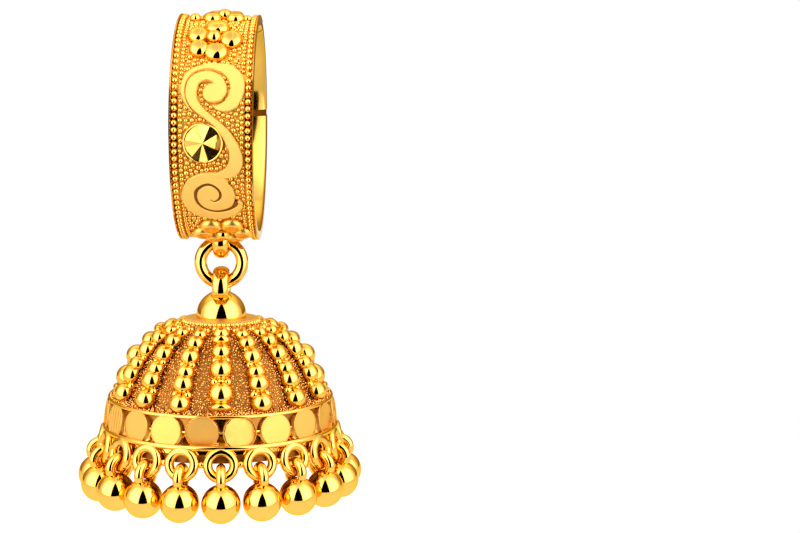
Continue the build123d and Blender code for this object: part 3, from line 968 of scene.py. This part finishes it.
def add_stage(name, shape, material, reach=None):
    """A surface that isn't part of the earring."""
    verts, faces = shape
    mesh = bpy.data.meshes.new(name)
    mesh.from_pydata((verts * MM).tolist(), [], faces)
    mesh.shade_smooth()
    if reach is not None:
        mesh.attributes.new("reach", "FLOAT", "POINT").data.foreach_set("value", reach)
    piece = bpy.data.objects.new(name, mesh)
    piece.data.materials.append(material)
    bpy.context.scene.collection.objects.link(piece)
    return piece


def tent_point(across, back, height):
    """A place in the tent of softboxes, seen from the camera's side and in units of TENT."""
    return np.array(CAMERA_TARGET) + TENT * (about_z(CAMERA_AZIMUTH) @ [across, back, height])


def make_studio():
    """Two steep softboxes like a tent, dark in its front opening, with a pale glowing floor, brighter under
    the earring as a painted pool of light, and a pale backdrop.
    """
    for side, name in ((-1, "softbox_left"), (1, "softbox_right")):
        grid = []
        reach = []
        for height in np.linspace(TENT_LOW, TENT_RIDGE - 0.2, 40):
            across = TENT_SLOPE * (TENT_RIDGE - height)
            line = []
            for back in np.linspace(-1, TENT_BACK + 0.7 * max(0, height - 0.8), 24):
                azimuth = degrees(atan2(across, -back))
                elevation = degrees(atan2(height, hypot(across, back)))
                line.append(tent_point(side * across, back, height))
                aside = cos(radians(elevation)) * (azimuth - SOFTBOX_MIDDLE[0]) / SOFTBOX_REACH[0]
                reach.append(min(1.0, hypot(aside, (elevation - SOFTBOX_MIDDLE[1]) / SOFTBOX_REACH[1])))
            grid.append(line)
        light = glow(name, SOFTBOX_STRENGTH, SOFTBOX_COLOUR, SOFTBOX_FALLOFF)
        panel = add_stage(name, surface(np.array(grid)), light, reach)
        panel.visible_camera = False
    card = [
        [tent_point(side * 1.1 * TENT_SLOPE * (TENT_RIDGE - height), -1.02, height) for side in (-1, 1)]
        for height in (TENT_LOW, TENT_RIDGE)
    ]
    dark = add_stage("dark_card", surface(np.array(card)), glow("dark_card", 0.0))
    dark.visible_camera = False

    across = np.concatenate([np.linspace(-400, -50, 4), np.linspace(-40, 40, 17), np.linspace(50, 400, 4)])
    back = np.concatenate([np.linspace(FLOOR_FRONT, 40, 15), np.linspace(60, 500, 6)])
    across, back = np.meshgrid(across, back, indexing="ij")
    points = np.stack([across, back, np.full_like(across, FLOOR_Z)], axis=-1)
    reach = np.minimum(1, np.hypot(across, back) / 45).reshape(-1)
    # The floor glows, and more brightly under the earring: a painted pool of light.
    add_stage("floor", surface(points), glow("pale_floor_painted_light_pool", 1.25, falloff=0.2), reach)
    backdrop = balls([round_ball(np.array(CAMERA_TARGET), BACKDROP_R)], 4)
    wall = add_stage("backdrop", backdrop, glow("pale_backdrop", 1.05))
    wall.visible_glossy = False
    wall.visible_diffuse = False
    wall.visible_shadow = False

    world = bpy.data.worlds.new("studio")
    bpy.context.scene.world = world
    world.use_nodes = True
    nodes = world.node_tree.nodes
    links = world.node_tree.links
    place = nodes.new("ShaderNodeTexCoord")
    split = nodes.new("ShaderNodeSeparateXYZ")
    links.new(place.outputs["Generated"], split.inputs["Vector"])
    ramp = nodes.new("ShaderNodeValToRGB")
    ramp.color_ramp.elements[0].position = 0.5
    ramp.color_ramp.elements[0].color = (0.30, 0.17, 0.07, 1)
    ramp.color_ramp.elements[1].position = 0.94
    ramp.color_ramp.elements[1].color = (1.9, 1.7, 1.3, 1)
    ramp.color_ramp.elements.new(0.72).color = (0.65, 0.48, 0.28, 1)
    rise = nodes.new("ShaderNodeMapRange")
    rise.inputs["From Min"].default_value = -1
    links.new(split.outputs["Z"], rise.inputs["Value"])
    links.new(rise.outputs["Result"], ramp.inputs["Fac"])
    links.new(ramp.outputs["Color"], nodes["Background"].inputs["Color"])


def make_camera():
    """A long lens a little above and to the right of the front."""
    data = bpy.data.cameras.new("camera")
    data.lens = LENS
    data.sensor_width = 36
    data.clip_start = 0.005
    data.clip_end = 5
    camera = bpy.data.objects.new("camera", data)
    bpy.context.scene.collection.objects.link(camera)
    camera.location = Vector(sky_point(CAMERA_AZIMUTH, CAMERA_ELEVATION, CAMERA_DISTANCE)) * MM
    look = Vector(np.array(CAMERA_TARGET) * MM) - camera.location
    level = look.to_track_quat("-Z", "Y").to_matrix()
    aim = Matrix.Rotation(radians(AIM_UP), 3, "X") @ Matrix.Rotation(radians(-AIM_RIGHT), 3, "Y")
    camera.rotation_euler = (level @ aim).to_euler()
    bpy.context.scene.camera = camera


make_hoop()
make_link()
make_dome()
make_band()
make_balls()
make_studio()
make_camera()
bpy.context.scene.view_settings.view_transform = "Standard"

bpy.context.view_layer.update()
